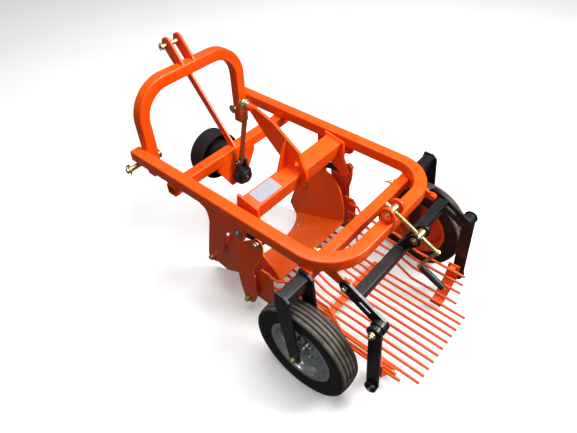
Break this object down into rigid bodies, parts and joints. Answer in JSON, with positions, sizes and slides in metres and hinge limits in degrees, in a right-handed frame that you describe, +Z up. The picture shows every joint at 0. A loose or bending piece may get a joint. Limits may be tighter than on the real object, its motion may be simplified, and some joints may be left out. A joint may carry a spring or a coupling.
{
  "type": "potato digger",
  "caption": "Single-row vibrating potato digger for a small tractor: tubular frame with hitch arch, curved share, shaken rod sieve hung on links, crank-set depth and two support wheels.",
  "frame": {"origin": "on level ground under the centre of the machine's length and width", "axes": "+Z up, +Y to the machine's rear, +X to its left"},
  "size_m": [0.982, 1.471, 0.9039],
  "materials": {
    "orange": "gloss, dusty",
    "black": "satin",
    "zinc": "yellow zinc plate",
    "steel": "worn",
    "zinc_rim": "zinc plate",
    "rubber": "dusty",
    "grip": "matte"
  },
  "bodies": {
    "frame": {"frame_rails": "orange", "hitch_arch": "orange", "arch_brace": "orange", "front_cross_tube": "orange", "rear_cross_tube": "orange", "top_link_pin": "zinc", "bearing_plate": "orange", "input_guard": "black", "top_link_lug_left": "orange", "top_link_lug_right": "orange", "side_plate_left": "orange", "side_plate_right": "orange", "share_pivot_bolt_left": "zinc", "share_pivot_bolt_right": "zinc", "lower_hitch_pin_left": "zinc", "lower_hitch_pin_right": "zinc", "rear_arm_left": "orange", "rear_arm_right": "orange", "spindle_lug_left": "orange", "spindle_lug_right": "orange", "wheel_fork_left": "black", "wheel_fork_right": "black", "axle_left": "zinc", "axle_right": "zinc"},
    "input_shaft": {"input_shaft": "steel"},
    "rocker": {"rocker_beam": "orange", "rocker_lever": "orange", "rod_end_bolt": "zinc", "rocker_end_plate_left": "orange", "rocker_end_plate_right": "orange", "sieve_hanger_left": "orange", "sieve_hanger_right": "orange"},
    "connecting_rod": {"connecting_rod": "zinc"},
    "eccentric_strap": {"eccentric_strap": "black"},
    "share": {"share": "orange"},
    "share_links": {"share_link_left": "black", "share_link_right": "black"},
    "sieve_pins": {"sieve_pin_left": "zinc", "sieve_pin_right": "zinc"},
    "sieve": {"sieve_rods": "orange", "sieve_side_left": "orange", "sieve_side_right": "orange"},
    "adjusting_frame": {"adjusting_bar": "black", "slotted_plate_left": "black", "slotted_plate_right": "black", "bush_pin_left": "zinc", "bush_pin_right": "zinc"},
    "rear_bushes": {"rear_bush_left": "black", "rear_bush_right": "black"},
    "rear_links": {"rear_link_left": "black", "rear_link_right": "black"},
    "spindle": {"spindle": "zinc", "crank_grip": "grip"},
    "spindle_nut": {"spindle_nut": "zinc"},
    "wheel_left": {"rim_left": "zinc_rim", "tyre_left": "rubber"},
    "wheel_right": {"rim_right": "orange", "tyre_right": "rubber"}
  },
  "joints": [
    {"name": "wheel_left_spin", "type": "hinge", "parent": "frame", "child": "wheel_left", "pos_m": [0.412, 0.36342, 0.206], "axis": [1, 0, 0], "continuous": true},
    {"name": "wheel_right_spin", "type": "hinge", "parent": "frame", "child": "wheel_right", "pos_m": [-0.412, 0.36342, 0.206], "axis": [1, 0, 0], "continuous": true},
    {"name": "input_shaft_spin", "type": "hinge", "parent": "frame", "child": "input_shaft", "pos_m": [0, -0.58943, 0.36061], "axis": [0, 0.999, 0.0446], "continuous": true},
    {"name": "rocker_swing", "type": "hinge", "parent": "frame", "child": "rocker", "pos_m": [0, -0.0242, 0.47997], "axis": [1, 0, 0], "range_deg": [-4.4, 0]},
    {"name": "connecting_rod_swing", "type": "hinge", "parent": "rocker", "child": "connecting_rod", "pos_m": [0, -0.29826, 0.74399], "axis": [1, 0, 0], "range_deg": [-0.05, 0.34]},
    {"name": "eccentric_strap_swing", "type": "hinge", "parent": "connecting_rod", "child": "eccentric_strap", "pos_m": [0, -0.35262, 0.43726], "axis": [1, 0, 0], "range_deg": [-0.05, 4.16]},
    {"name": "share_swing", "type": "hinge", "parent": "frame", "child": "share", "pos_m": [0, -0.19659, 0.21601], "axis": [1, 0, 0], "range_deg": [-0.05, 2.33]},
    {"name": "share_link_swing", "type": "hinge", "parent": "rocker", "child": "share_links", "pos_m": [0, 0.0237, 0.41604], "axis": [1, 0, 0], "range_deg": [-0.05, 1.47]},
    {"name": "sieve_front_swing", "type": "hinge", "parent": "rocker", "child": "sieve_pins", "pos_m": [0, -0.01107, 0.07415], "axis": [1, 0, 0], "range_deg": [-0.05, 4.24]},
    {"name": "sieve_tilt", "type": "hinge", "parent": "sieve_pins", "child": "sieve", "pos_m": [0, -0.01107, 0.07415], "axis": [1, 0, 0], "range_deg": [-1.84, 1.84]},
    {"name": "sieve_height", "type": "hinge", "parent": "frame", "child": "adjusting_frame", "pos_m": [0, 0.42826, 0.50219], "axis": [1, 0, 0], "range_deg": [-8, 8]},
    {"name": "rear_bush_turn", "type": "hinge", "parent": "adjusting_frame", "child": "rear_bushes", "pos_m": [0, 0.57633, 0.43674], "axis": [1, 0, 0], "range_deg": [-9.78, 9.78]},
    {"name": "rear_link_swing", "type": "hinge", "parent": "rear_bushes", "child": "rear_links", "pos_m": [0, 0.57633, 0.43674], "axis": [1, 0, 0], "range_deg": [-5.51, 0.05]},
    {"name": "spindle_tilt", "type": "hinge", "parent": "frame", "child": "spindle", "pos_m": [0, 0.39806, 0.61796], "axis": [1, 0, 0], "range_deg": [-3.38, 3.38]},
    {"name": "spindle_nut_turn", "type": "hinge", "parent": "adjusting_frame", "child": "spindle_nut", "pos_m": [0, 0.51332, 0.57006], "axis": [1, 0, 0], "range_deg": [-4.72, 4.72]}
  ],
  "couplings": [
    {"joint": "connecting_rod_swing", "follows": "rocker_swing", "ratio": -0.066},
    {"joint": "eccentric_strap_swing", "follows": "rocker_swing", "ratio": -0.934},
    {"joint": "share_swing", "follows": "rocker_swing", "ratio": -0.519},
    {"joint": "share_link_swing", "follows": "rocker_swing", "ratio": -0.322},
    {"joint": "sieve_front_swing", "follows": "rocker_swing", "ratio": -0.953},
    {"joint": "rear_link_swing", "follows": "rocker_swing", "ratio": 1.242},
    {"joint": "sieve_tilt", "follows": "sieve_height", "ratio": 0.224},
    {"joint": "rear_bush_turn", "follows": "sieve_height", "ratio": -1.2156},
    {"joint": "spindle_tilt", "follows": "sieve_height", "ratio": 0.416},
    {"joint": "spindle_nut_turn", "follows": "sieve_height", "ratio": -0.584}
  ]
}
